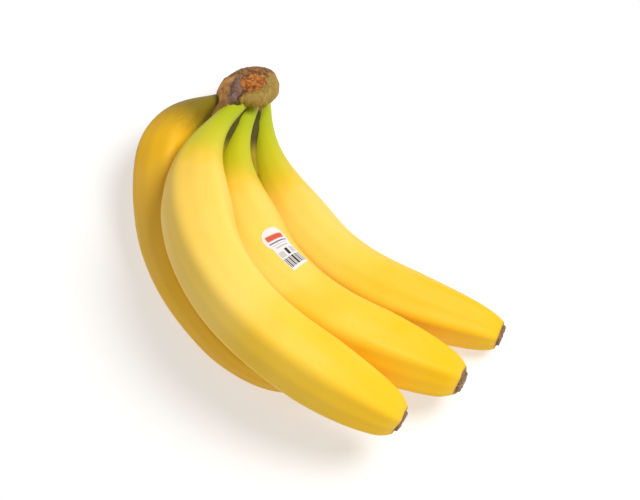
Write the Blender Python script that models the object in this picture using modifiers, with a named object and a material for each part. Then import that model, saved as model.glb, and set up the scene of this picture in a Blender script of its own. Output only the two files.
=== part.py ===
"""A bunch of four bananas, lying on its side on the bellies of its back and right fruit.

Each fruit is a solid of its own that ends in its neck, a crown holds the four necks, and one fruit wears a
small paper label. The bunch is drawn hanging from its crown, with X to the right, Y away from the front and
Z up, in millimetres. An empty then scales it to metres and lays it down.
"""

import math

import bmesh
import bpy
from mathutils import Matrix, Vector

MM = 0.001
GAP = 0.3  # clearance between neighbouring pieces, mm

# How each fruit grows. neck is where it leaves the crown, lean is its first heading measured up from +X,
# away is how far that heading points backwards, curl turns the plane that the fruit bends in, bends are the
# degrees turned at the shoulder, the belly and the tip, and twist winds that plane along the fruit. shoulder
# is where the neck starts to widen and where the fruit has its full girth, mm from the crown.
FINGERS = {
    "banana_back": {
        "neck": (-49.6, 78.0, 80.2), "lean": 199.6, "away": -30.6, "curl": 11.2, "shoulder": (3.0, 54.0),
        "length": 207.3, "radius": 16.9, "bends": (59.3, 58.1, 30.6), "twist": -72.5, "ridge": 40.0,
    },
    "banana_front": {
        "neck": (-45.3, 60.7, 75.7), "lean": 232.3, "away": -40.5, "curl": -10.5, "shoulder": (6.0, 81.0),
        "length": 239.0, "radius": 18.5, "bends": (24.3, 78.7, 1.5), "twist": 28.0, "ridge": 69.0,
    },
    "banana_middle": {
        "neck": (-38.3, 71.7, 75.1), "lean": 252.8, "away": -25.3, "curl": -21.0, "shoulder": (6.0, 81.0),
        "length": 218.0, "radius": 18.2, "bends": (25.1, 64.5, -0.5), "twist": 56.5, "ridge": 0.0,
    },
    "banana_right": {
        "neck": (-31.7, 86.9, 78.1), "lean": 274.8, "away": -22.2, "curl": -3.2, "shoulder": (6.0, 81.0),
        "length": 198.0, "radius": 16.8, "bends": (17.0, 51.9, -3.5), "twist": 22.8, "ridge": 0.0,
    },
}
BEND_PLACES = (0.16, 0.50, 0.88)  # shoulder, belly and tip, as shares of the length
BEND_SPREADS = (0.10, 0.25, 0.10)

NECK_RADIUS = 5.4
TIP_RADIUS = 5.4
TIP_TAPER = 55.0  # length over which the fruit narrows to its blossom scar
TIP_POWER = 1.35
RIDGES = 5
RIDGE_HEIGHT = 0.028  # as a share of the radius
SIDES = 24
STATIONS = 38
STEPS = 120  # steps of the centreline

CROWN_CENTRE = Vector((-39.0, 74.0, 87.0))
CROWN_RADII = (17.5, 20.0, 10.5)
CROWN_SLANT = -20.0  # degrees that the crown leans about Y
CROWN_LOBES = {  # centre and radii of the swellings that overhang the necks
    "lobe_right": ((-31.5, 63.0, 82.2), (8.2, 5.2, 4.8)),
    "lobe_left": ((-49.5, 71.5, 83.0), (7.5, 7.5, 6.5)),
}
CUT_POINT = Vector((-33.5, 59.5, 92.0))  # on the face where the bunch was cut from its stalk
CUT_NORMAL = Vector((0.22, -0.72, 0.66))
STUB_ROOT = 8.0  # distance from the neck to the stub's inner end, inside the crown
STUB_ROOT_RADIUS = 5.0
STUB_COLLAR = 4.0  # distance of the stub's thicker collar from the neck
STUB_COLLAR_RADIUS = 6.8

LABEL_FINGER = "banana_middle"
LABEL_PLACE = 94.0  # centre of its round head, mm along the fruit
LABEL_ANGLE = 280.0  # degrees round the fruit from its inner side
LABEL_HEAD = 7.2
LABEL_TAIL = 5.6
LABEL_LENGTH = 27.5
LABEL_THICKNESS = 0.3
LABEL_ROWS = 18
LABEL_COLUMNS = 6

LAY_BACK = 69.28  # degrees that the front of the bunch is tipped up
LAY_ROLL = -4.84
FLAT_DEPTH = 0.6  # how much the bellies that it rests on are flattened

YELLOW = (0.86, 0.62, 0.07, 1.0)
CROWN_BROWN = (0.30, 0.19, 0.08, 1.0)
PAPER_WHITE = (0.85, 0.85, 0.83, 1.0)


def clear_scene():
    for obj in list(bpy.data.objects):
        bpy.data.objects.remove(obj, do_unlink=True)


def make_collection(name):
    collection = bpy.data.collections.new(name)
    bpy.context.scene.collection.children.link(collection)
    return collection


def make_material(name, colour, roughness):
    material = bpy.data.materials.new(name)
    material.use_nodes = True
    shader = material.node_tree.nodes["Principled BSDF"]
    shader.inputs["Base Color"].default_value = colour
    shader.inputs["Roughness"].default_value = roughness
    shader.inputs["Metallic"].default_value = 0.0
    return material


def smoothstep(x):
    x = min(max(x, 0.0), 1.0)
    return x * x * (3.0 - 2.0 * x)


def bend_per_length(finger, share):
    """Degrees of bend per unit of share, from the three bends at their places."""
    total = 0.0
    for bend, place, spread in zip(finger["bends"], BEND_PLACES, BEND_SPREADS):
        total += bend / (spread * math.sqrt(math.pi)) * math.exp(-(((share - place) / spread) ** 2))
    return total


def centreline(finger):
    """Centre, heading, inward normal and side of the fruit at every step along it."""
    lean = math.radians(finger["lean"])
    away = math.radians(finger["away"])
    curl = math.radians(finger["curl"])
    heading = Vector((math.cos(lean) * math.cos(away), math.sin(away), math.sin(lean) * math.cos(away)))
    level = Vector((-math.sin(lean), 0.0, math.cos(lean)))
    inward = math.cos(curl) * level + math.sin(curl) * level.cross(heading)
    side = inward.cross(heading)
    centre = Vector(finger["neck"])
    line = [(centre.copy(), heading.copy(), inward.copy(), side.copy())]
    for step in range(STEPS):
        bend = math.radians(bend_per_length(finger, (step + 0.5) / STEPS)) / STEPS
        heading, inward = (
            heading * math.cos(bend) + inward * math.sin(bend),
            inward * math.cos(bend) - heading * math.sin(bend),
        )
        twist = math.radians(finger["twist"]) / STEPS
        inward, side = (
            inward * math.cos(twist) + side * math.sin(twist),
            side * math.cos(twist) - inward * math.sin(twist),
        )
        centre = centre + heading * (finger["length"] / STEPS)
        line.append((centre.copy(), heading.copy(), inward.copy(), side.copy()))
    return line


def station(finger, line, distance):
    """The centreline's frame at a distance along the fruit."""
    place = min(max(distance / finger["length"], 0.0), 1.0) * STEPS
    step = min(int(place), STEPS - 1)
    blend = place - step
    return [first.lerp(second, blend) for first, second in zip(line[step], line[step + 1])]


def girth(finger, distance):
    """Mean radius of the fruit at a distance along it."""
    start, full = finger["shoulder"]
    swell = smoothstep((distance - start) / (full - start))
    body = NECK_RADIUS + (finger["radius"] - NECK_RADIUS) * swell
    left = min(max((finger["length"] - distance) / TIP_TAPER, 0.0), 1.0)
    tip = TIP_RADIUS + (finger["radius"] - TIP_RADIUS) * math.sqrt(1.0 - (1.0 - left) ** TIP_POWER)
    return min(body, tip)


def surface_point(finger, line, distance, angle, clearance=0.0):
    """A point on the peel, with the angle measured round from the inner side."""
    centre, _, inward, side = station(finger, line, distance)
    radius = girth(finger, distance)
    fullness = smoothstep(distance / finger["shoulder"][1])
    ridges = 1.0 + RIDGE_HEIGHT * fullness * math.cos(RIDGES * (angle - math.radians(finger["ridge"])))
    reach = radius * ridges + clearance
    return centre + (inward * math.cos(angle) + side * math.sin(angle)) * reach


def ring_distances(length, count):
    """Distances along a fruit, closer together at both ends."""
    return [length * 0.5 * (1.0 - math.cos(math.pi * i / (count - 1))) for i in range(count)]


def loft(name, rings, collection):
    """A closed solid through rings of equal count, with a flat cap at each end."""
    mesh = bpy.data.meshes.new(name)
    shape = bmesh.new()
    loops = [[shape.verts.new(point) for point in ring] for ring in rings]
    for first, second in zip(loops, loops[1:]):
        for i in range(len(first)):
            j = (i + 1) % len(first)
            shape.faces.new((first[i], first[j], second[j], second[i]))
    shape.faces.new(reversed(loops[0]))
    shape.faces.new(loops[-1])
    bmesh.ops.recalc_face_normals(shape, faces=shape.faces)
    shape.to_mesh(mesh)
    shape.free()
    obj = bpy.data.objects.new(name, mesh)
    collection.objects.link(obj)
    return obj


def fruit_rings(finger, distances, clearance=0.0):
    line = centreline(finger)
    turns = [math.tau * i / SIDES for i in range(SIDES)]
    return [[surface_point(finger, line, d, turn, clearance) for turn in turns] for d in distances]


def add_fruit(name, finger, parts, empty, peel):
    fruit = loft(name, fruit_rings(finger, ring_distances(finger["length"], STATIONS)), parts)
    fruit.data.materials.append(peel)
    fruit.data.shade_smooth()
    fruit.data.set_sharp_from_angle(angle=math.radians(40))
    fruit.parent = empty
    return fruit


def add_tool(obj, empty):
    """Makes an object a hidden cutter or a hidden shape to join."""
    obj.parent = empty
    obj.hide_render = True
    obj.display_type = "WIRE"
    return obj


def boolean(obj, other, operation):
    modifier = obj.modifiers.new(other.name, "BOOLEAN")
    modifier.operation = operation
    modifier.solver = "EXACT"
    modifier.object = other


def round_ring(middle, inward, side, radius):
    turns = [math.tau * i / SIDES for i in range(SIDES)]
    return [middle + (inward * math.cos(turn) + side * math.sin(turn)) * radius for turn in turns]


def add_stub(name, finger, cutters, empty):
    """The short stem that reaches from the middle of the crown to a neck."""
    centre, heading, inward, side = centreline(finger)[0]
    places = (
        (centre - heading * STUB_ROOT, STUB_ROOT_RADIUS),
        (centre - heading * STUB_COLLAR, STUB_COLLAR_RADIUS),
        (centre - heading * GAP, NECK_RADIUS),
    )
    rings = [round_ring(middle, inward, side, radius) for middle, radius in places]
    return add_tool(loft(f"stub_{name}", rings, cutters), empty)


def add_neck_cutter(name, finger, cutters, empty):
    """The neck with its clearance, which the crown keeps off."""
    line = centreline(finger)
    rings = []
    for distance in (-GAP, 4.0, 8.0, 12.0, 16.0, 20.0):
        centre, heading, inward, side = station(finger, line, distance)
        centre = centre + heading * min(distance, 0.0)
        radius = girth(finger, max(distance, 0.0)) + GAP
        rings.append(round_ring(centre, inward, side, radius))
    return add_tool(loft(f"clear_{name}", rings, cutters), empty)


def ellipsoid(name, centre, radii, slant, collection):
    mesh = bpy.data.meshes.new(name)
    shape = bmesh.new()
    bmesh.ops.create_uvsphere(shape, u_segments=24, v_segments=14, radius=1.0)
    bmesh.ops.scale(shape, verts=shape.verts, vec=radii)
    bmesh.ops.rotate(
        shape, verts=shape.verts, cent=(0, 0, 0), matrix=Matrix.Rotation(math.radians(slant), 3, "Y")
    )
    bmesh.ops.translate(shape, verts=shape.verts, vec=centre)
    shape.to_mesh(mesh)
    shape.free()
    obj = bpy.data.objects.new(name, mesh)
    collection.objects.link(obj)
    return obj


def add_crown(parts, cutters, empty, bark):
    """A thick oval cushion with a stub for each neck, cut flat where it left the stalk."""
    crown = ellipsoid("crown", CROWN_CENTRE, CROWN_RADII, CROWN_SLANT, parts)
    crown.data.materials.append(bark)
    crown.parent = empty
    for name, (centre, radii) in CROWN_LOBES.items():
        boolean(crown, add_tool(ellipsoid(name, centre, radii, CROWN_SLANT, cutters), empty), "UNION")
    for name, finger in FINGERS.items():
        boolean(crown, add_stub(name, finger, cutters, empty), "UNION")
    boolean(crown, add_cut_block(cutters, empty), "DIFFERENCE")
    for name, finger in FINGERS.items():
        boolean(crown, add_neck_cutter(name, finger, cutters, empty), "DIFFERENCE")
    return crown


def add_cut_block(cutters, empty):
    """A block that lies on the outer side of the crown's cut face."""
    size = 80.0
    mesh = bpy.data.meshes.new("cut_block")
    shape = bmesh.new()
    bmesh.ops.create_cube(shape, size=size)
    turn = CUT_NORMAL.to_track_quat("Z", "Y").to_matrix()
    bmesh.ops.translate(shape, verts=shape.verts, vec=(0, 0, size / 2))
    bmesh.ops.rotate(shape, verts=shape.verts, cent=(0, 0, 0), matrix=turn)
    bmesh.ops.translate(shape, verts=shape.verts, vec=CUT_POINT)
    shape.to_mesh(mesh)
    shape.free()
    block = bpy.data.objects.new("cut_block", mesh)
    cutters.objects.link(block)
    return add_tool(block, empty)


def label_half_width(along):
    """Half the label's width at a distance from its head's outer end: a round head on a straight tail."""
    from_head = along - LABEL_HEAD
    head = math.sqrt(max(LABEL_HEAD**2 - from_head**2, 0.0))
    return max(head, LABEL_TAIL) if from_head > 0 else head


def add_label(parts, empty, paper):
    finger = FINGERS[LABEL_FINGER]
    line = centreline(finger)
    mesh = bpy.data.meshes.new("label")
    shape = bmesh.new()
    rows = []
    for i in range(LABEL_ROWS):
        share = i / (LABEL_ROWS - 1)
        along = 0.3 + (LABEL_LENGTH - 0.3) * share ** 1.3
        half = label_half_width(along)
        distance = LABEL_PLACE - LABEL_HEAD + along
        radius = girth(finger, distance)
        row = []
        for j in range(LABEL_COLUMNS + 1):
            across = half * (2.0 * j / LABEL_COLUMNS - 1.0)
            angle = math.radians(LABEL_ANGLE) + across / radius
            row.append(shape.verts.new(surface_point(finger, line, distance, angle, GAP)))
        rows.append(row)
    for first, second in zip(rows, rows[1:]):
        for j in range(LABEL_COLUMNS):
            shape.faces.new((first[j], second[j], second[j + 1], first[j + 1]))
    shape.to_mesh(mesh)
    shape.free()
    label = bpy.data.objects.new("label", mesh)
    parts.objects.link(label)
    label.data.materials.append(paper)
    label.parent = empty
    thicken = label.modifiers.new("Thickness", "SOLIDIFY")
    thicken.thickness = LABEL_THICKNESS
    thicken.offset = 1.0
    return label


def lay_down(empty, fruits):
    """Scales the bunch to metres and lays it on the floor, centred on the origin."""
    turn = Matrix.Rotation(math.radians(-LAY_BACK), 4, "X") @ Matrix.Rotation(math.radians(LAY_ROLL), 4, "Y")
    empty.rotation_mode = "QUATERNION"
    empty.rotation_quaternion = turn.to_quaternion()
    empty.scale = (MM, MM, MM)
    points = [turn @ vertex.co for fruit in fruits for vertex in fruit.data.vertices]
    low = Vector([min(point[i] for point in points) for i in range(3)])
    high = Vector([max(point[i] for point in points) for i in range(3)])
    middle = (low + high) / 2
    empty.location = Vector((-middle.x, -middle.y, -low.z - FLAT_DEPTH)) * MM
    bpy.context.view_layer.update()


def add_floor_cutter(cutters):
    """A slab with its top at floor level, which flattens the bellies that rest on it."""
    width = 0.4
    depth = 0.02
    mesh = bpy.data.meshes.new("floor_slab")
    shape = bmesh.new()
    bmesh.ops.create_cube(shape, size=1.0)
    bmesh.ops.scale(shape, verts=shape.verts, vec=(width, width, depth))
    bmesh.ops.translate(shape, verts=shape.verts, vec=(0, 0, -depth / 2))
    shape.to_mesh(mesh)
    shape.free()
    slab = bpy.data.objects.new("floor_slab", mesh)
    cutters.objects.link(slab)
    slab.hide_render = True
    slab.display_type = "WIRE"
    return slab


def main():
    clear_scene()
    parts = make_collection("banana_bunch")
    cutters = make_collection("cutters")
    peel = make_material("peel", YELLOW, 0.45)
    bark = make_material("crown_bark", CROWN_BROWN, 0.8)
    paper = make_material("label_paper", PAPER_WHITE, 0.4)
    empty = bpy.data.objects.new("bunch", None)
    parts.objects.link(empty)
    fruits = {name: add_fruit(name, finger, parts, empty, peel) for name, finger in FINGERS.items()}
    crown = add_crown(parts, cutters, empty, bark)
    add_label(parts, empty, paper)
    lay_down(empty, list(fruits.values()) + [crown])
    slab = add_floor_cutter(cutters)
    for name in ("banana_back", "banana_right"):
        boolean(fruits[name], slab, "DIFFERENCE")


main()
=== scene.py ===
import math

import bmesh
import bpy
import numpy as np
from mathutils import Matrix, Vector, noise


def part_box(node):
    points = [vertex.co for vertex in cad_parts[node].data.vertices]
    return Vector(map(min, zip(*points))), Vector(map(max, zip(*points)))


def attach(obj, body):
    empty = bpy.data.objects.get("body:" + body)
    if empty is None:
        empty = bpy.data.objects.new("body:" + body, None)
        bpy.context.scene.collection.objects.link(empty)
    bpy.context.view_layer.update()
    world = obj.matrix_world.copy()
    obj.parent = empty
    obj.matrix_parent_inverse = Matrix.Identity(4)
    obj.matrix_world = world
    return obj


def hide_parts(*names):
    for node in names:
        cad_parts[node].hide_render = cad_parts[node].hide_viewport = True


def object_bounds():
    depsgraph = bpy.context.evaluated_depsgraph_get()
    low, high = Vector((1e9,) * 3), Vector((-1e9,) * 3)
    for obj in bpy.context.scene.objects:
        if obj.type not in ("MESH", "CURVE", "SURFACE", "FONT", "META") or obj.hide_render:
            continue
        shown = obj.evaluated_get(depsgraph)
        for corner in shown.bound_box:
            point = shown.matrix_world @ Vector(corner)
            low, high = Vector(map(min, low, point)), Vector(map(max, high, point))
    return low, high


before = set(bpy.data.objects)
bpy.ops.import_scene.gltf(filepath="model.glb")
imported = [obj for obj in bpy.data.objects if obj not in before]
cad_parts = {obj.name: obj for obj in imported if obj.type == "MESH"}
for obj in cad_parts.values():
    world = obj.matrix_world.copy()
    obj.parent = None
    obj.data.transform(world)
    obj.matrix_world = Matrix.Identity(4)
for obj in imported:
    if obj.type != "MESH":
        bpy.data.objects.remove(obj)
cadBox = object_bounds()

# The bunch is grown as it hangs, in millimetres: x right, y away from the front, z up.
# layingDown then tips it onto its side, and placing it turns millimetres into metres.
metresPerMm = 0.001
layingDown = {"back": -69.28, "roll": -4.84}

# neck: where the fruit leaves the crown. lean and away: its first heading. bends: degrees turned at the
# shoulder, the belly and the tip. curl and twist set the plane it bends in. ridge: where its first edge is.
# shoulder: where the neck starts to widen and where the fruit has its full girth.
# scarSlant: how many degrees the dried end turns to the front.
fruits = {
    "banana_back": {
        "neck": (-49.6, 78.0, 80.2), "lean": 199.6, "away": -30.6, "curl": 11.2, "length": 207.3,
        "radius": 16.9, "bends": (59.3, 58.1, 30.6), "twist": -72.5, "ridge": 40.0, "seed": 11.0,
        "shoulder": (3.0, 54.0), "scarSlant": 6.0,
    },
    "banana_front": {
        "neck": (-45.3, 60.7, 75.7), "lean": 232.3, "away": -40.5, "curl": -10.5, "length": 239.0,
        "radius": 18.5, "bends": (24.3, 78.7, 1.5), "twist": 28.0, "ridge": 69.0, "seed": 23.0,
        "shoulder": (6.0, 81.0), "scarSlant": 20.0,
    },
    "banana_middle": {
        "neck": (-38.3, 71.7, 75.1), "lean": 252.8, "away": -25.3, "curl": -21.0, "length": 218.0,
        "radius": 18.2, "bends": (25.1, 64.5, -0.5), "twist": 56.5, "ridge": 0.0, "seed": 37.0,
        "shoulder": (6.0, 81.0), "scarSlant": 20.0,
    },
    "banana_right": {
        "neck": (-31.7, 86.9, 78.1), "lean": 274.8, "away": -22.2, "curl": -3.2, "length": 198.0,
        "radius": 16.8, "bends": (17.0, 51.9, -3.5), "twist": 22.8, "ridge": 0.0, "seed": 51.0,
        "shoulder": (6.0, 81.0), "scarSlant": 5.0,
    },
}

# what all four fruit share, in millimetres
peelShape = {
    "bendPlaces": (0.16, 0.50, 0.88), "bendSpreads": (0.10, 0.25, 0.10), "steps": 120,
    "neckRadius": 5.4, "intoCrown": 5.0, "tipRadius": 5.4, "tipTaper": 55.0, "tipPower": 1.35,
    "edges": 5, "edgeHeight": 0.036, "edgeSharp": 0.32, "edgeTintFrom": (10.0, 50.0),
    "edgeAtTip": 0.02, "edgeAtTipReach": (12.0, 80.0),
    "inset": 0.25, "lumpSize": 26.0, "lump": 0.3, "rippleSize": 7.0, "ripple": 0.05, "rippleAtEnds": 0.3,
    "unevenFrom": (10.0, 60.0), "unevenTo": (3.0, 20.0),
    "sides": 120, "rowGap": 1.0, "waist": 0.25, "waistWidth": 1.6, "slantReach": 14.0, "grainShift": 9.0,
}

# the dried flower end. rings: distance back from the very end, and radius; the ones after hollowAfter sink in
scarShape = {
    "rings": (
        (1.7, 5.2), (1.6, 5.5), (1.25, 5.65), (0.8, 5.6), (0.35, 5.35), (0.08, 4.95), (0.0, 4.5),
        (0.05, 4.0), (0.2, 3.4), (0.4, 2.7), (0.6, 2.0), (1.1, 1.4), (1.8, 0.8), (2.1, 0.3),
    ),
    "hollowAfter": 6, "hollowRadius": 5.0, "hollowDepth": 2.3,
    "wavy": 0.25, "wavySpread": 2.0, "wavySize": 0.7, "outOfRound": 0.05, "ragged": 0.3, "raggedSize": 1.1,
}
scarLength, scarRadius = scarShape["rings"][0]


def smooth(value, low, high):
    share = np.clip((value - low) / (high - low), 0.0, 1.0)
    return share * share * (3.0 - 2.0 * share)


def noiseAt(points, size, shift=0.0):
    offset = Vector((shift, -shift, 0.5 * shift))
    return np.array([noise.noise(Vector(point) / size + offset) for point in points])


def centreline(fruit):
    lean, away, curl = (math.radians(fruit[key]) for key in ("lean", "away", "curl"))
    heading = np.array([math.cos(lean) * math.cos(away), math.sin(away), math.sin(lean) * math.cos(away)])
    level = np.array([-math.sin(lean), 0.0, math.cos(lean)])
    inward = math.cos(curl) * level + math.sin(curl) * np.cross(level, heading)
    side = np.cross(inward, heading)
    centre = np.array(fruit["neck"])
    steps = peelShape["steps"]
    line = [np.stack([centre, heading, inward, side])]
    for step in range(steps):
        share = (step + 0.5) / steps
        bend = 0.0
        for turn, place, spread in zip(fruit["bends"], peelShape["bendPlaces"], peelShape["bendSpreads"]):
            bend += turn / (spread * math.sqrt(math.pi)) * math.exp(-(((share - place) / spread) ** 2))
        bend = math.radians(bend) / steps
        heading, inward = (
            heading * math.cos(bend) + inward * math.sin(bend),
            inward * math.cos(bend) - heading * math.sin(bend),
        )
        twist = math.radians(fruit["twist"]) / steps
        inward, side = (
            inward * math.cos(twist) + side * math.sin(twist),
            side * math.cos(twist) - inward * math.sin(twist),
        )
        centre = centre + heading * fruit["length"] / steps
        line.append(np.stack([centre, heading, inward, side]))
    return np.stack(line)


def stationAt(fruit, line, distance):
    # centre, heading, inward and side; ahead of the neck the line runs on straight
    place = min(max(distance / fruit["length"], 0.0), 1.0) * peelShape["steps"]
    step = min(int(place), peelShape["steps"] - 1)
    station = line[step] + (line[step + 1] - line[step]) * (place - step)
    station[0] = station[0] + station[1] * min(distance, 0.0)
    return station


def girth(fruit, distance):
    shape = peelShape
    swell = smooth(distance, *fruit["shoulder"])
    body = shape["neckRadius"] + (fruit["radius"] - shape["neckRadius"]) * swell
    left = min(max((fruit["length"] - distance) / shape["tipTaper"], 0.0), 1.0)
    rounding = math.sqrt(1.0 - (1.0 - left) ** shape["tipPower"])
    tip = shape["tipRadius"] + (fruit["radius"] - shape["tipRadius"]) * rounding
    fromScar = (fruit["length"] - scarLength - distance) / shape["waistWidth"]
    waist = shape["waist"] * math.exp(-(fromScar**2))
    return min(body, tip) - waist


def edgeWave(fruit, turns):
    # 1 on the five soft edges that run along the peel, about -1 between them
    phase = peelShape["edges"] * (turns - math.radians(fruit["ridge"]))
    return np.cos(phase) + peelShape["edgeSharp"] * np.cos(2 * phase)


def peelPoints(fruit, line, distance, turns, lift=0.0):
    shape = peelShape
    centre, _, inward, side = stationAt(fruit, line, distance)
    toEnd = fruit["length"] - distance
    height = shape["edgeHeight"] * smooth(distance, 0.0, fruit["shoulder"][1])
    height = height + shape["edgeAtTip"] * (1 - smooth(toEnd, *shape["edgeAtTipReach"]))
    away = np.outer(np.cos(turns), inward) + np.outer(np.sin(turns), side)
    reach = girth(fruit, distance) * (1.0 + height * edgeWave(fruit, turns)) - shape["inset"]
    skin = centre + away * reach[:, None]
    body = float(smooth(distance, *shape["unevenFrom"]) * smooth(toEnd, *shape["unevenTo"]))
    reach = reach + shape["lump"] * body * noiseAt(skin, shape["lumpSize"], fruit["seed"])
    ripple = shape["ripple"] * (shape["rippleAtEnds"] + body)
    reach = reach + ripple * noiseAt(skin, shape["rippleSize"], fruit["seed"])
    return centre + away * (reach + lift)[:, None]


tippedBack = Matrix.Rotation(math.radians(layingDown["back"]), 3, "X")
rolled = Matrix.Rotation(math.radians(layingDown["roll"]), 3, "Y")
turning = np.array(tippedBack @ rolled)


def slantEnd(fruit, line, points, toEnd):
    # pulls the front of the last few millimetres back, so that the dried end faces the front a little
    end, heading = line[-1][0], line[-1][1]
    front = np.array([0.0, -1.0, 0.0])
    front = front - heading * (front @ heading)
    front = front / np.linalg.norm(front)
    nearer = np.clip((points - end) @ front + scarRadius, 0.0, 2 * scarRadius)
    pull = math.tan(math.radians(fruit["scarSlant"])) * (1 - smooth(toEnd, 0.0, peelShape["slantReach"]))
    return points - np.outer(nearer * pull, heading)


def roughBox(name, sides=24, rows=60):
    fruit = fruits[name]
    line = centreline(fruit)
    turns = np.linspace(0.0, 2 * math.pi, sides, endpoint=False)
    distances = np.linspace(0, fruit["length"], rows)
    rings = [peelPoints(fruit, line, distance, turns) for distance in distances]
    points = np.concatenate(rings) @ turning.T * metresPerMm
    return points.min(axis=0), points.max(axis=0)


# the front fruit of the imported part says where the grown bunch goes, and its box is never passed
measuredOn = "banana_front"
grownLow, grownHigh = roughBox(measuredOn)
cadLow, cadHigh = (np.array(corner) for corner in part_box(measuredOn))
shift = (cadLow + cadHigh) / 2 - (grownLow + grownHigh) / 2
clearOfBox = 2e-5
lowest = np.array(cadBox[0]) + np.array([clearOfBox, clearOfBox, 0.0])
highest = np.array(cadBox[1]) - clearOfBox


def placed(points):
    return np.clip(points @ turning.T * metresPerMm + shift, lowest, highest)


def addPiece(name, points, faces, finish, attributes=None, corners=None):
    mesh = bpy.data.meshes.new(name)
    mesh.from_pydata(placed(points).tolist(), [], faces)
    mesh.polygons.foreach_set("use_smooth", [True] * len(mesh.polygons))
    for label, values in (attributes or {}).items():
        values = np.asarray(values, dtype=np.float32)
        kind = "FLOAT" if values.ndim == 1 else "FLOAT_VECTOR"
        layer = mesh.attributes.new(label, kind, "POINT")
        layer.data.foreach_set("value" if values.ndim == 1 else "vector", values.ravel())
    if corners is not None:
        layer = mesh.uv_layers.new(name="UVMap")
        layer.uv.foreach_set("vector", np.asarray(corners, dtype=np.float32).ravel())
    mesh.update()
    mesh.materials.append(finish)
    piece = bpy.data.objects.new(name, mesh)
    bpy.context.scene.collection.objects.link(piece)
    return piece


def gridFaces(rows, sides, closed=True):
    # quads between neighbouring rows, facing out, and the place of each corner on the unrolled sheet
    faces, corners = [], []
    columns = sides if closed else sides - 1
    for row in range(rows - 1):
        for column in range(columns):
            after = (column + 1) % sides
            first, second = row * sides, (row + 1) * sides
            faces.append((first + column, second + column, second + after, first + after))
            left, right = column / columns, (column + 1) / columns
            low, high = row / (rows - 1), (row + 1) / (rows - 1)
            corners.extend([(left, low), (left, high), (right, high), (right, low)])
    return faces, corners


def colour(red, green, blue):
    # screen values from 0 to 255, as the linear light a shader wants
    channels = [channel / 255 for channel in (red, green, blue)]
    linear = [c / 12.92 if c <= 0.04045 else ((c + 0.055) / 1.055) ** 2.4 for c in channels]
    return (*linear, 1.0)


def tintsOf(colours):
    return {name: colour(*channels) for name, channels in colours.items()}


class Wire:
    # one output of a finish's nodes; arithmetic on it adds the maths nodes
    def __init__(self, finish, socket):
        self.finish = finish
        self.socket = socket

    def __add__(self, other):
        return self.finish.sum("ADD", self, other)

    def __radd__(self, other):
        return self.finish.sum("ADD", other, self)

    def __sub__(self, other):
        return self.finish.sum("SUBTRACT", self, other)

    def __rsub__(self, other):
        return self.finish.sum("SUBTRACT", other, self)

    def __mul__(self, other):
        return self.finish.sum("MULTIPLY", self, other)

    def __rmul__(self, other):
        return self.finish.sum("MULTIPLY", other, self)


class Finish:
    def __init__(self, name, **constants):
        self.material = bpy.data.materials.new(name)
        self.material.use_nodes = True
        self.tree = self.material.node_tree
        self.tree.nodes.clear()
        self.shader = self.tree.nodes.new("ShaderNodeBsdfPrincipled")
        output = self.tree.nodes.new("ShaderNodeOutputMaterial")
        self.tree.links.new(self.shader.outputs["BSDF"], output.inputs["Surface"])
        for socket, value in constants.items():
            self.set(socket, value)

    def set(self, socket, value):
        self.join(value, self.shader.inputs[socket])

    def join(self, value, socket):
        if isinstance(value, Wire):
            self.tree.links.new(value.socket, socket)
        else:
            socket.default_value = value

    def node(self, kind, output, settings=None, sockets=None):
        made = self.tree.nodes.new(kind)
        for key, value in (settings or {}).items():
            setattr(made, key, value)
        for key, value in (sockets or {}).items():
            self.join(value, made.inputs[key])
        return Wire(self, made.outputs[output])

    def sum(self, operation, *values):
        sockets = dict(enumerate(values))
        return self.node("ShaderNodeMath", 0, {"operation": operation}, sockets)

    def number(self, attribute):
        return self.node("ShaderNodeAttribute", "Fac", {"attribute_name": attribute})

    def vector(self, attribute):
        return self.node("ShaderNodeAttribute", "Vector", {"attribute_name": attribute})

    def stretched(self, vector, scale):
        return self.node("ShaderNodeVectorMath", 0, {"operation": "MULTIPLY"}, {0: vector, 1: scale})

    def noise(self, vector, scale, detail=2.0, roughness=0.5):
        sockets = {"Vector": vector, "Scale": scale, "Detail": detail, "Roughness": roughness}
        return self.node("ShaderNodeTexNoise", "Fac", None, sockets)

    def ramp(self, value, low, high):
        # 0 at low, 1 at high, eased, either way round
        settings = {"interpolation_type": "SMOOTHSTEP"}
        if low < high:
            sockets = {"Value": value, "From Min": low, "From Max": high}
            return self.node("ShaderNodeMapRange", "Result", settings, sockets)
        sockets = {"Value": value, "From Min": high, "From Max": low, "To Min": 1.0, "To Max": 0.0}
        return self.node("ShaderNodeMapRange", "Result", settings, sockets)

    def mix(self, share, first, second):
        settings = {"data_type": "RGBA", "clamp_factor": True}
        return self.node("ShaderNodeMix", 2, settings, {0: share, 6: first, 7: second})

    def bump(self, height, distance, strength=1.0, normal=None):
        sockets = {"Height": height, "Distance": distance, "Strength": strength}
        if normal:
            sockets["Normal"] = normal
        return self.node("ShaderNodeBump", "Normal", None, sockets)


peelColours = {
    "gold": (247, 199, 46), "brightGold": (251, 207, 66), "pale": (254, 218, 96),
    # between is painted shade in the hollows between the edges, and ridge is a painted highlight along the
    # edges
    "streak": (240, 188, 34), "between": (244, 190, 28), "ridge": (255, 222, 110),
    # paintedSheen is a painted highlight: a paler cream band along the middle of each fruit
    # shade is painted shade on the fruit at the back, and olive is that fruit's neck green in painted shade
    "paintedSheen": (255, 220, 120), "tip": (250, 196, 14), "shade": (240, 180, 22), "lime": (190, 196, 26),
    "green": (166, 184, 28), "olive": (122, 104, 26), "neckRim": (190, 188, 70),
    "scarEdge": (206, 160, 48), "fleck": (186, 134, 48), "driedDark": (100, 74, 58),
    "driedPale": (172, 140, 114), "driedRing": (194, 162, 136), "driedCore": (48, 32, 24),
}


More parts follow.
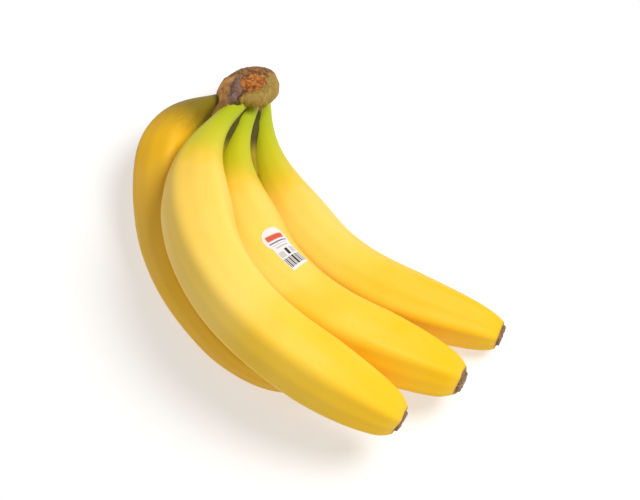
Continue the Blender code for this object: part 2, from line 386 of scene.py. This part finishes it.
def peelFinish():
    tint = tintsOf(peelColours)
    finish = Finish("peel", IOR=1.42)
    finish.set("Specular IOR Level", 0.22)
    along, toEnd = finish.number("along"), finish.number("toEnd")
    edge, core = finish.number("edge"), finish.number("core")
    grain = finish.vector("grain")

    # from broad ripening down to fine fibre; those that run along the fruit are stretched
    broad = finish.noise(grain, 0.028, 2.0)
    mottle = finish.noise(finish.stretched(grain, (1.0, 1.0, 0.35)), 0.12, 3.0)
    streaks = finish.noise(finish.stretched(grain, (1.0, 1.0, 0.06)), 0.9, 3.0)
    fine = finish.noise(finish.stretched(grain, (1.0, 1.0, 0.25)), 2.2, 3.0)

    skin = finish.mix(finish.ramp(broad, 0.35, 0.65), tint["gold"], tint["brightGold"])
    skin = finish.mix(finish.ramp(mottle, 0.5, 0.8) * 0.25, skin, tint["pale"])
    skin = finish.mix(finish.ramp(streaks, 0.55, 0.75) * 0.06, skin, tint["streak"])
    # painted shade between the edges, then a painted highlight along them
    skin = finish.mix(finish.ramp(edge, -0.2, -1.0) * 0.08, skin, tint["between"])
    skin = finish.mix(finish.ramp(edge, 0.5, 1.25) * 0.06, skin, tint["ridge"])
    # painted highlight: a paler cream sheen in the colour along the middle of each fruit, away from neck and
    # tip
    paintedSheen = finish.ramp(along + broad * 30.0, 60.0, 90.0) * finish.ramp(toEnd + broad * 30.0, 90.0, 130.0)
    skin = finish.mix(paintedSheen * 0.5, skin, tint["paintedSheen"])
    skin = finish.mix(finish.ramp(toEnd + mottle * 30.0, 100.0, 30.0) * 0.75, skin, tint["tip"])

    # the neck ripens last; the fruit at the back carries painted shade: darker gold all over, and less green
    # at its neck, in a darker olive
    backInShade = finish.number("backInShade")
    skin = finish.mix(backInShade * 0.65, skin, tint["shade"])
    start = along + broad * 16.0 + streaks * 6.0 + backInShade * 26.0
    skin = finish.mix(finish.ramp(start, 74.0, 38.0) * 0.85, skin, tint["lime"])
    green = finish.mix(backInShade, tint["green"], tint["olive"])
    greenest = finish.ramp(along + streaks * 8.0 - backInShade * 16.0, 36.0, 10.0)
    skin = finish.mix(greenest * (0.75 + backInShade * 0.15), skin, green)
    skin = finish.mix(finish.ramp(along + fine * 3.0, 2.6, 0.6) * 0.5, skin, tint["neckRim"])

    # the last few millimetres, towards the scar
    skin = finish.mix(finish.ramp(toEnd + fine * 2.4, 4.6, 2.6) * 0.6, skin, tint["scarEdge"])

    # flecks, small and few
    speck = finish.noise(finish.stretched(grain, (1.0, 1.0, 0.55)), 0.9, 1.0)
    patch = finish.noise(grain, 0.05, 1.0)
    flecks = finish.ramp(speck + patch * 0.3, 0.945, 0.98) * finish.ramp(along, 50.0, 70.0)
    skin = finish.mix(flecks * 0.4, skin, tint["fleck"])

    # the dried flower end, with a pale ring round its dark core
    scar = finish.ramp(toEnd + fine, 2.5, 2.0)
    dried = finish.mix(finish.ramp(fine, 0.35, 0.65), tint["driedDark"], tint["driedPale"])
    ring = finish.ramp(core, 0.02, 0.15) * finish.ramp(core, 0.68, 0.5)
    dried = finish.mix(ring * finish.ramp(fine, 0.35, 0.6) * 0.8, dried, tint["driedRing"])
    dried = finish.mix(finish.ramp(core, 0.66, 0.8), dried, tint["driedCore"])
    finish.set("Base Color", finish.mix(scar, skin, dried))
    finish.set("Roughness", finish.ramp(mottle, 0.3, 0.7) * 0.08 + 0.44 + scar * 0.35)
    height = streaks * 0.5 + fine * 0.3
    rough = finish.bump(height, 0.00012, 0.35)
    finish.set("Normal", finish.bump(fine * scar, 0.0007, 0.9, rough))
    return finish.material


peel = peelFinish()


def growFruit(name):
    fruit, shape = fruits[name], peelShape
    line = centreline(fruit)
    sides = shape["sides"]
    turns = np.linspace(0.0, 2 * math.pi, sides, endpoint=False)
    end = fruit["length"]
    body = np.linspace(-shape["intoCrown"], end - scarLength, round(end / shape["rowGap"]))
    points, alongs, cores, edges, grains = [], [], [], [], []
    for distance in body:
        row = peelPoints(fruit, line, distance, turns)
        points.append(slantEnd(fruit, line, row, end - distance))
        alongs.append(np.full(sides, distance))
        cores.append(np.zeros(sides))
        edges.append(edgeWave(fruit, turns) * smooth(distance, *shape["edgeTintFrom"]))
        grains.append(girth(fruit, distance))
    scar, hollow = scarShape, scarShape["hollowRadius"]
    heading = line[-1][1]
    for ring, (back, radius) in enumerate(scar["rings"][1:], start=1):
        centre, _, inward, side = stationAt(fruit, line, end - back)
        away = np.outer(np.cos(turns), inward) + np.outer(np.sin(turns), side)
        wave = noiseAt(away * scar["wavySpread"] + back, scar["wavySize"], fruit["seed"])
        wave = wave * min(radius / hollow, 1.0)
        jagged = noiseAt(away * radius, scar["raggedSize"], fruit["seed"] + back)
        reach = radius * (1.0 + scar["outOfRound"] * wave)
        outward = scar["ragged"] * jagged + scar["wavy"] * wave
        row = centre + away * reach[:, None] + np.outer(outward, heading)
        points.append(slantEnd(fruit, line, row, back))
        alongs.append(np.full(sides, end - back))
        sunk = max(0.0, (hollow - radius) / hollow) if ring > scar["hollowAfter"] else 0.0
        cores.append(np.full(sides, sunk))
        edges.append(np.zeros(sides))
        grains.append(radius)
    rows = len(points)
    faces, corners = gridFaces(rows, sides)
    for ring, centreAt, facing in ((0, -shape["intoCrown"], 1), (rows - 1, end - scar["hollowDepth"], -1)):
        middle = rows * sides + (0 if ring == 0 else 1)
        for column in range(sides):
            here, after = ring * sides + column, ring * sides + (column + 1) % sides
            faces.append((middle, here, after) if facing > 0 else (middle, after, here))
            corners.extend([(0.5, 0.5)] * 3)
        tip = stationAt(fruit, line, centreAt)[0][None, :]
        points.append(slantEnd(fruit, line, tip, end - centreAt))
        alongs.append(np.array([centreAt]))
        cores.append(np.array([1.0 if ring else 0.0]))
        edges.append(np.zeros(1))
        grains.append(0.0)
    along = np.concatenate(alongs)
    around = np.concatenate([turns] * rows + [np.zeros(2)])
    reach = np.repeat(np.array(grains), [sides] * rows + [1, 1])
    apart = fruit["seed"] * shape["grainShift"]
    grain = np.stack([np.cos(around) * reach + apart, np.sin(around) * reach, along], axis=1)
    attributes = {
        "along": along, "toEnd": end - along, "edge": np.concatenate(edges),
        "core": np.concatenate(cores), "grain": grain,
        # painted shade: 1 on the fruit at the back, which is coloured darker all over
        "backInShade": np.full(len(along), 1.0 if name == "banana_back" else 0.0),
    }
    piece = addPiece(name + "_fruit", np.concatenate(points), faces, peel, attributes, corners)
    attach(piece, "root")
    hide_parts(name)
    return line


lines = {name: growFruit(name) for name in fruits}
print("fruit done")

crownShape = {
    "centre": (-39.0, 73.5, 87.0), "radii": (16.6, 18.8, 10.0), "slant": -20.0,
    "cutPoint": (-33.5, 60.2, 91.4), "cutNormal": (0.22, -0.72, 0.66),
    "voxel": 0.42, "smoothing": 6, "ballsPerStep": 5, "webStep": 1.5, "webBehind": 3.0, "planed": 0.9,
    "wobble": 1.6, "wobbleSize": 3.0,
}
# balls that swell the crown: centre, then radius
crownSwells = (
    ((-44.6, 57.0, 80.0), 4.7), ((-48.4, 66.5, 82.4), 5.4), ((-49.2, 72.5, 83.4), 6.0),
    ((-49.4, 64.0, 79.6), 4.2), ((-35.0, 70.0, 93.6), 4.6), ((-41.0, 70.0, 91.5), 5.0),
    ((-33.0, 82.0, 83.5), 7.0), ((-38.0, 72.0, 81.0), 6.5),
    ((-32.2, 87.6, 84.0), 6.9), ((-47.0, 79.4, 81.0), 6.7),
)
# and rows of balls: the lip over the right necks, and the dried point between the left ones
crownRows = (
    (
        ((-38.0, 60.6, 79.8), 3.9), ((-35.0, 60.2, 79.5), 4.3), ((-31.5, 60.6, 80.3), 4.4),
        ((-28.3, 62.4, 81.8), 4.3), ((-26.0, 65.4, 84.4), 4.1), ((-25.4, 68.4, 87.6), 3.6),
        ((-26.2, 70.5, 90.6), 3.2),
    ),
    (
        ((-44.6, 57.0, 80.0), 4.4), ((-47.8, 55.8, 78.2), 3.6), ((-50.4, 55.2, 76.6), 2.8),
        ((-52.6, 54.4, 74.8), 2.1), ((-54.4, 53.6, 73.0), 1.5), ((-55.8, 52.9, 71.4), 1.0),
        ((-56.6, 52.4, 70.2), 0.7),
    ),
)
# a sheet between neighbouring necks that fills the gaps there as painted shade: radius at the crown, radius
# at its end, how far it hangs down
shadeWebs = {
    ("banana_front", "banana_middle"): (4.0, 1.4, 36.0),
    ("banana_middle", "banana_right"): (4.0, 2.2, 42.0),
}


def buildCrown():
    shape = crownShape
    ball = bmesh.new()
    bmesh.ops.create_icosphere(ball, subdivisions=4, radius=1.0)
    unit = np.array([vertex.co for vertex in ball.verts])
    unitFaces = np.array([[vertex.index for vertex in face.verts] for face in ball.faces])
    ball.free()
    slant = np.array(Matrix.Rotation(math.radians(shape["slant"]), 3, "Y"))
    forms = [unit * np.array(shape["radii"]) @ slant.T + np.array(shape["centre"])]
    balls = list(crownSwells)
    for row in crownRows:
        for (start, thick), (stop, thin) in zip(row, row[1:]):
            for share in np.linspace(0.0, 1.0, shape["ballsPerStep"]):
                balls.append((Vector(start).lerp(Vector(stop), share), thick + (thin - thick) * share))
    for (first, second), (thick, thin, reach) in shadeWebs.items():
        for drop in np.arange(0.0, reach, shape["webStep"]):
            one, other = (stationAt(fruits[name], lines[name], drop)[0] for name in (first, second))
            between = (one + other) / 2 + np.array([0.0, shape["webBehind"], 0.0])
            balls.append((between, thick + (thin - thick) * drop / reach))
    forms += [unit * radius + np.array(centre) for centre, radius in balls]
    mesh = bpy.data.meshes.new("crown_form")
    faces = np.concatenate([unitFaces + len(unit) * index for index in range(len(forms))])
    mesh.from_pydata(np.concatenate(forms).tolist(), [], faces.tolist())
    rough = bpy.data.objects.new("crown_form", mesh)
    bpy.context.scene.collection.objects.link(rough)
    remesh = rough.modifiers.new("one skin", "REMESH")
    remesh.mode = "VOXEL"
    remesh.voxel_size = shape["voxel"]
    soften = rough.modifiers.new("soften", "SMOOTH")
    soften.iterations = shape["smoothing"]
    skin = bpy.data.meshes.new_from_object(rough.evaluated_get(bpy.context.evaluated_depsgraph_get()))
    bpy.data.objects.remove(rough)
    points = np.empty(len(skin.vertices) * 3)
    skin.vertices.foreach_get("co", points)
    normals = np.empty(len(skin.vertices) * 3)
    skin.vertex_normals.foreach_get("vector", normals)
    faces = [tuple(face.vertices) for face in skin.polygons]
    return points.reshape(-1, 3), normals.reshape(-1, 3), faces


# ovals on the crown seen from the front: x and z of the middle, half width, half height, degrees of tilt
crownMarks = {
    "face": (-34.2, 88.8, 7.8, 6.3, 22.0),
    "dark": (-44.6, 83.4, 4.2, 9.0, -16.0),
    "shadedCrevice": (-40.7, 80.7, 1.6, 4.6, -28.0),
    "spike": (-54.0, 73.6, 3.0, 7.0, -42.0),
    "spot": (-51.6, 85.6, 1.4, 1.2, 0.0),
}
# edges on the crown, each fading from its first value to its second
crownEdges = {
    "lipTop": (-0.35, 0.35), "lipRight": (-28.6, -27.6), "lipRightTop": (92.5, 94.0),
    "lipLeft": (-42.4, -41.4), "lipFoot": (74.0, 75.5), "top": (95.8, 97.6),
    "webLow": (65.0, 67.0), "webHigh": (77.0, 78.5), "webLeft": (-47.5, -46.5),
}
# how those edges lean: the lip's top line goes through x and z, and the others lean by a share
crownLeans = {
    "lipTopAt": (-41.1, 80.6), "lipTopRise": 0.49, "lipLeftFoot": 78.0, "lipLeftLean": 0.2, "topLean": 0.12,
}
# how far the skin is pushed out, or in where negative, and how big the bumps are
crownRelief = {
    "lumps": 0.6, "lumpSize": 7.0, "creases": 0.35, "creaseSize": 2.2, "creaseStretch": 0.35,
    "grit": ((1.0, 1.7, 2.0), (0.7, 0.8, 5.0), (0.4, 0.5, 9.0)),  # strength, size and shift of each layer
    "lip": 0.35, "lipSmoother": 0.7, "dark": -0.6, "shadedCrevice": -1.2, "face": -1.0,
    "gritOnFace": 0.4, "gritOnDark": 0.3, "gritOnTop": 0.45,
}


def near(points, mark):
    # 1 at the middle of the oval, falling to 0 about its rim
    x, z, wide, tall, tilt = crownMarks[mark]
    turn = math.radians(tilt)
    right, up = points[:, 0] - x, points[:, 2] - z
    across = (right * math.cos(turn) + up * math.sin(turn)) / wide
    upward = (up * math.cos(turn) - right * math.sin(turn)) / tall
    return 1.0 - smooth(np.sqrt(across**2 + upward**2), 0.8, 1.15)


def roughenCrown(points, normals):
    shape, edges, leans, relief = crownShape, crownEdges, crownLeans, crownRelief
    sideways, upwards = (noiseAt(points, shape["wobbleSize"], shift) for shift in (4.0, 8.0))
    loose = points + np.stack([sideways, np.zeros(len(points)), upwards], axis=1) * shape["wobble"]
    front = smooth(-normals[:, 1], 0.0, 0.35)

    # the lip lies below a slanting line and up the right side; the cut face lies above it
    lipX, lipZ = leans["lipTopAt"]
    overLip = loose[:, 2] - lipZ - leans["lipTopRise"] * (loose[:, 0] - lipX)
    rightSide = smooth(loose[:, 0], *edges["lipRight"]) * (1 - smooth(loose[:, 2], *edges["lipRightTop"]))
    below = np.maximum(1 - smooth(overLip, *edges["lipTop"]), rightSide)
    face = near(loose, "face") * front * (1 - below)

    # what stands out past the cut is planed off, all but a little
    cut = np.array(shape["cutNormal"])
    cut = cut / np.linalg.norm(cut)
    height = (points - np.array(shape["cutPoint"])) @ cut
    points = points - cut * (np.maximum(height, 0.0) * shape["planed"])[:, None]

    fromLeft = loose[:, 0] - leans["lipLeftLean"] * (loose[:, 2] - leans["lipLeftFoot"])
    lip = below * smooth(fromLeft, *edges["lipLeft"]) * smooth(front, 0.0, 0.4)
    lip = lip * smooth(points[:, 2], *edges["lipFoot"])
    dark = near(loose, "dark") * front * (1 - face) * (1 - lip)
    # painted shade: the narrow crevice left of the lip, which is dented and coloured near black
    shadedCrevice = near(loose, "shadedCrevice") * front * (1 - lip)
    spike = near(loose, "spike")
    top = smooth(loose[:, 2] - leans["topLean"] * loose[:, 0], *edges["top"]) * (1 - face) * (1 - lip)
    spot = near(loose, "spot") * front
    # painted shade on the sheet between the necks and the low parts of the crown
    underCrown = (1 - smooth(points[:, 2], *edges["webHigh"])) * smooth(points[:, 0], *edges["webLeft"])
    shadeWeb = np.maximum(1 - smooth(points[:, 2], *edges["webLow"]), underCrown) * (1 - lip)

    grit = sum(strength * noiseAt(points, size, shift) for strength, size, shift in relief["grit"])
    stretched = points * np.array([1.0, 1.0, relief["creaseStretch"]])
    creases = relief["creases"] * noiseAt(stretched, relief["creaseSize"], 7.0)
    lumps = relief["lumps"] * noiseAt(points, relief["lumpSize"], 3.0)
    push = (lumps + creases) * (1 - face) * (1 - relief["lipSmoother"] * lip)
    push = push + relief["dark"] * dark + relief["shadedCrevice"] * shadedCrevice + relief["lip"] * lip
    push = push + (relief["gritOnFace"] * grit + relief["face"]) * face
    push = push + grit * (relief["gritOnDark"] * dark + relief["gritOnTop"] * top)
    marks = {
        "face": face, "dark": dark, "lip": lip, "spike": spike, "top": top, "spot": spot, "grit": grit,
        "shadeWeb": shadeWeb, "shadedCrevice": shadedCrevice,
    }
    return points + normals * push[:, None], marks


crownColours = {
    "barkDark": (174, 122, 54), "barkPale": (220, 166, 92), "barkFibre": (122, 78, 36),
    "sleeveDark": (148, 118, 46), "sleevePale": (172, 144, 72), "sleeveSpeck": (134, 110, 46),
    "stumpDark": (112, 76, 42), "stumpPale": (160, 116, 68), "stumpKnot": (66, 42, 28),
    "stumpFibre": (178, 132, 80), "scabDark": (64, 38, 30), "scabPale": (132, 100, 90),
    # the crevice colour is painted shade
    "scabPatch": (156, 124, 112), "shadedCrevice": (52, 30, 16), "point": (100, 70, 30), "spot": (190, 90, 30),
    # the two sheet colours are painted shade, deep and lighter
    "webDeepShade": (80, 74, 24), "webLightShade": (170, 146, 34), "pithDark": (132, 70, 22),
    "pithPale": (196, 122, 52), "pithFibre": (232, 176, 84), "pithPatch": (190, 92, 22),
    "rim": (92, 48, 30),
}


def crownFinish():
    tint = tintsOf(crownColours)
    finish = Finish("crown", IOR=1.4)
    where = finish.vector("where")
    face, dark, lip = (finish.number(name) for name in ("face", "dark", "lip"))
    spike, top, spot, grit = (finish.number(name) for name in ("spike", "top", "spot", "grit"))
    blotch = finish.noise(where, 0.22, 3.0)
    fibre = finish.noise(finish.stretched(where, (1.0, 1.0, 0.4)), 0.7, 4.0, 0.6)
    fine = finish.noise(where, 2.4, 3.0, 0.6)
    # bark, then what lies over it: the olive lip, the fibrous top, the dark scab and the smaller marks
    bark = finish.mix(finish.ramp(blotch, 0.35, 0.65), tint["barkDark"], tint["barkPale"])
    bark = finish.mix(finish.ramp(fibre, 0.5, 0.75) * 0.5, bark, tint["barkFibre"])
    sleeve = finish.mix(finish.ramp(fibre, 0.35, 0.7), tint["sleeveDark"], tint["sleevePale"])
    sleeve = finish.mix(finish.ramp(fine, 0.6, 0.8) * 0.35, sleeve, tint["sleeveSpeck"])
    bark = finish.mix(lip, bark, sleeve)
    knots = finish.noise(where, 0.6, 2.0)
    stump = finish.mix(finish.ramp(fine, 0.35, 0.65), tint["stumpDark"], tint["stumpPale"])
    stump = finish.mix(finish.ramp(knots, 0.5, 0.62) * 0.75, stump, tint["stumpKnot"])
    stump = finish.mix(finish.ramp(grit, 0.1, 0.5) * 0.5, stump, tint["stumpFibre"])
    bark = finish.mix(top * 0.9, bark, stump)
    scab = finish.mix(finish.ramp(fine, 0.35, 0.65), tint["scabDark"], tint["scabPale"])
    scab = finish.mix(finish.ramp(blotch, 0.45, 0.6) * 0.5, scab, tint["scabPatch"])
    bark = finish.mix(dark * 0.95, bark, scab)
    # painted shade in the crevice beside the lip
    bark = finish.mix(finish.number("shadedCrevice") * 0.85, bark, tint["shadedCrevice"])
    bark = finish.mix(spike * 0.7, bark, tint["point"])
    bark = finish.mix(spot * 0.8, bark, tint["spot"])
    height = finish.node("ShaderNodeSeparateXYZ", "Z", None, {0: where})
    # painted shade between the necks: deepest from 60 mm up, lighter by 50 mm down where the fruit touch
    shadeWeb = finish.mix(finish.ramp(height, 60.0, 50.0), tint["webDeepShade"], tint["webLightShade"])
    bark = finish.mix(finish.number("shadeWeb"), bark, shadeWeb)
    pith = finish.mix(finish.ramp(grit, -0.35, 0.5), tint["pithDark"], tint["pithPale"])
    pith = finish.mix(finish.ramp(fibre, 0.52, 0.72) * 0.55, pith, tint["pithFibre"])
    pith = finish.mix(finish.ramp(blotch, 0.5, 0.7) * 0.4, pith, tint["pithPatch"])
    rim = finish.ramp(face, 0.0, 0.2) * finish.ramp(face, 0.9, 0.5)
    bark = finish.mix(face, bark, pith)
    rim = rim * finish.ramp(fibre, 0.3, 0.6) * 0.85
    finish.set("Base Color", finish.mix(rim, bark, tint["rim"]))
    finish.set("Roughness", 0.75 - dark * 0.2 - lip * 0.1)
    finish.set("Normal", finish.bump(fibre + fine * 0.6, 0.0005, 0.7))
    return finish.material


crownPoints, crownNormals, crownFaces = buildCrown()
crownPoints, crownAttributes = roughenCrown(crownPoints, crownNormals)
crownAttributes["where"] = crownPoints
crown = addPiece("crown_skin", crownPoints, crownFaces, crownFinish(), crownAttributes)
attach(crown, "root")
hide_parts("crown")
print("crown done")

labelShape = {
    "on": "banana_middle", "place": 94.0, "turn": 280.0, "head": 7.1, "tail": 5.5, "length": 27.3,
    "thickness": 0.12, "lift": 0.03, "rows": 90, "columns": 40, "firstRow": 0.02, "leastHalfWidth": 0.4,
    "bars": (
        (-4.9, -4.5), (-4.1, -3.4), (-3.0, -2.7), (-2.3, -1.6), (-1.2, -0.9), (-0.5, 0.6), (1.0, 1.3),
        (1.7, 2.4), (2.9, 3.2), (3.6, 3.9), (4.4, 4.8),
    ),
    "barSpan": (19.6, 25.6), "barSoft": 0.06, "white": (236, 234, 236), "ink": (40, 34, 36),
}
# plain printed blocks: left, right, near and far edge, how soft, how strong, colour
labelBlocks = (
    ((-5.0, 4.8, 4.4, 7.6), 0.5, 1.0, (216, 92, 62)),
    ((-5.2, 5.2, 8.8, 9.5), 0.2, 1.0, (66, 70, 140)),
    ((-4.6, 4.6, 10.5, 10.9), 0.15, 0.6, (150, 140, 200)),
    ((-3.4, 3.4, 12.0, 12.8), 0.15, 0.6, (150, 146, 158)),
    ((-4.8, -1.6, 15.2, 18.8), 0.15, 0.45, (150, 146, 158)),
    ((1.8, 4.6, 14.4, 18.6), 0.15, 0.45, (150, 146, 158)),
    ((-0.6, 0.9, 14.4, 18.6), 0.15, 1.0, (40, 34, 36)),
)


def labelHalfWidth(along):
    fromHead = along - labelShape["head"]
    head = math.sqrt(max(labelShape["head"] ** 2 - fromHead**2, 0.0))
    return max(head, labelShape["tail"]) if fromHead > 0 else head


def labelFinish():
    finish = Finish("label", Roughness=0.35, IOR=1.5)
    spot = finish.vector("spot")
    across, along = (finish.node("ShaderNodeSeparateXYZ", axis, None, {0: spot}) for axis in ("X", "Y"))

    def block(left, right, low, high, soft):
        wide = finish.ramp(across, left - soft, left + soft) * finish.ramp(across, right + soft, right - soft)
        tall = finish.ramp(along, low - soft, low + soft) * finish.ramp(along, high + soft, high - soft)
        return wide * tall

    paint = colour(*labelShape["white"])
    for sides, soft, strength, printed in labelBlocks:
        paint = finish.mix(block(*sides, soft) * strength, paint, colour(*printed))
    for left, right in labelShape["bars"]:
        bar = block(left, right, *labelShape["barSpan"], labelShape["barSoft"])
        paint = finish.mix(bar, paint, colour(*labelShape["ink"]))
    finish.set("Base Color", paint)
    return finish.material


def buildLabel():
    shape = labelShape
    fruit, line = fruits[shape["on"]], lines[shape["on"]]
    rows, columns = shape["rows"], shape["columns"]
    sheets, spots = [], []
    for lift in (shape["lift"], shape["lift"] + shape["thickness"]):
        sheet = []
        for row in range(rows):
            along = shape["length"] * row / (rows - 1)
            half = max(labelHalfWidth(max(along, shape["firstRow"])), shape["leastHalfWidth"])
            across = np.linspace(-half, half, columns)
            distance = shape["place"] - shape["head"] + along
            turns = math.radians(shape["turn"]) + across / girth(fruit, distance)
            sheet.append(peelPoints(fruit, line, distance, turns, lift))
            spots.append(np.stack([across, np.full(columns, along), np.zeros(columns)], axis=1))
        sheets.append(np.concatenate(sheet))
    faces, corners = gridFaces(rows, columns, closed=False)
    count = rows * columns
    under = [tuple(reversed(face)) for face in faces]
    upper = [tuple(index + count for index in face) for face in faces]
    # the rim runs down one side, along the end, up the other side and back
    rim = [row * columns for row in range(rows)] + [count - columns + c for c in range(1, columns)]
    rim += [row * columns + columns - 1 for row in range(rows - 2, -1, -1)] + list(range(columns - 2, 0, -1))
    walls = [(here, after, after + count, here + count) for here, after in zip(rim, rim[1:] + rim[:1])]
    quads = [corners[start:start + 4] for start in range(0, len(corners), 4)]
    turned = [corner for quad in quads for corner in reversed(quad)]
    corners = turned + corners + [(0.5, 0.5)] * (4 * len(walls))
    attributes = {"spot": np.concatenate(spots)}
    allFaces = under + upper + walls
    piece = addPiece("label_sticker", np.concatenate(sheets), allFaces, labelFinish(), attributes, corners)
    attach(piece, "root")
    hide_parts("label")


buildLabel()
print("label done")

# metres; the floor glows a little, which keeps it pale under the bunch
studio = {
    "floorReach": 6.0, "floorColour": (0.55, 0.55, 0.55, 1.0), "floorGlow": 0.5,
    "white": (1.0, 1.0, 1.0, 1.0), "world": 0.38,
    "lens": 112.93, "sensor": 36.0, "cameraAway": 1.0,
}
# places are seen from the camera: metres to its right, up its picture, and towards it
keyLight = {
    "right": 0.6, "up": 0.56, "nearer": 1.08, "size": 0.7, "power": 16.0, "tint": (1.0, 0.975, 0.95),
}

scene = bpy.context.scene
scene.view_settings.view_transform = "Standard"


def plainFloor():
    finish = Finish("floor", Roughness=0.9)
    finish.set("Base Color", studio["floorColour"])
    finish.set("Emission Color", studio["white"])
    finish.set("Emission Strength", studio["floorGlow"])
    mesh = bpy.data.meshes.new("floor")
    reach = studio["floorReach"]
    corners = [(-reach, -reach, 0), (reach, -reach, 0), (reach, reach, 0), (-reach, reach, 0)]
    mesh.from_pydata(corners, [], [(0, 1, 2, 3)])
    mesh.materials.append(finish.material)
    floor = bpy.data.objects.new("floor", mesh)
    scene.collection.objects.link(floor)


def plainWorld():
    world = bpy.data.worlds.new("studio")
    world.use_nodes = True
    background = world.node_tree.nodes["Background"]
    background.inputs["Color"].default_value = studio["white"]
    background.inputs["Strength"].default_value = studio["world"]
    scene.world = world


def overheadCamera(laying):
    data = bpy.data.cameras.new("camera")
    data.lens = studio["lens"]
    data.sensor_width = studio["sensor"]
    camera = bpy.data.objects.new("camera", data)
    away = Matrix.Translation((0.0, -studio["cameraAway"], 0.0))
    camera.matrix_world = laying @ away @ Matrix.Rotation(math.radians(90.0), 4, "X")
    scene.collection.objects.link(camera)
    scene.camera = camera


def softLight(name, laying, lamp):
    data = bpy.data.lights.new(name, "AREA")
    data.shape = "DISK"
    data.size = lamp["size"]
    data.energy = lamp["power"]
    data.color = lamp["tint"]
    light = bpy.data.objects.new(name, data)
    scene.collection.objects.link(light)
    place = laying @ Vector((lamp["right"], -lamp["nearer"], lamp["up"]))
    middle = laying @ Vector((0.0, 0.0, 0.0))
    light.location = place
    light.rotation_euler = (middle - place).to_track_quat("-Z", "Y").to_euler()


laying = Matrix.Translation(shift) @ Matrix(turning.tolist()).to_4x4()
overheadCamera(laying)
plainWorld()
plainFloor()
softLight("key", laying, keyLight)
print("floor, light and camera done")
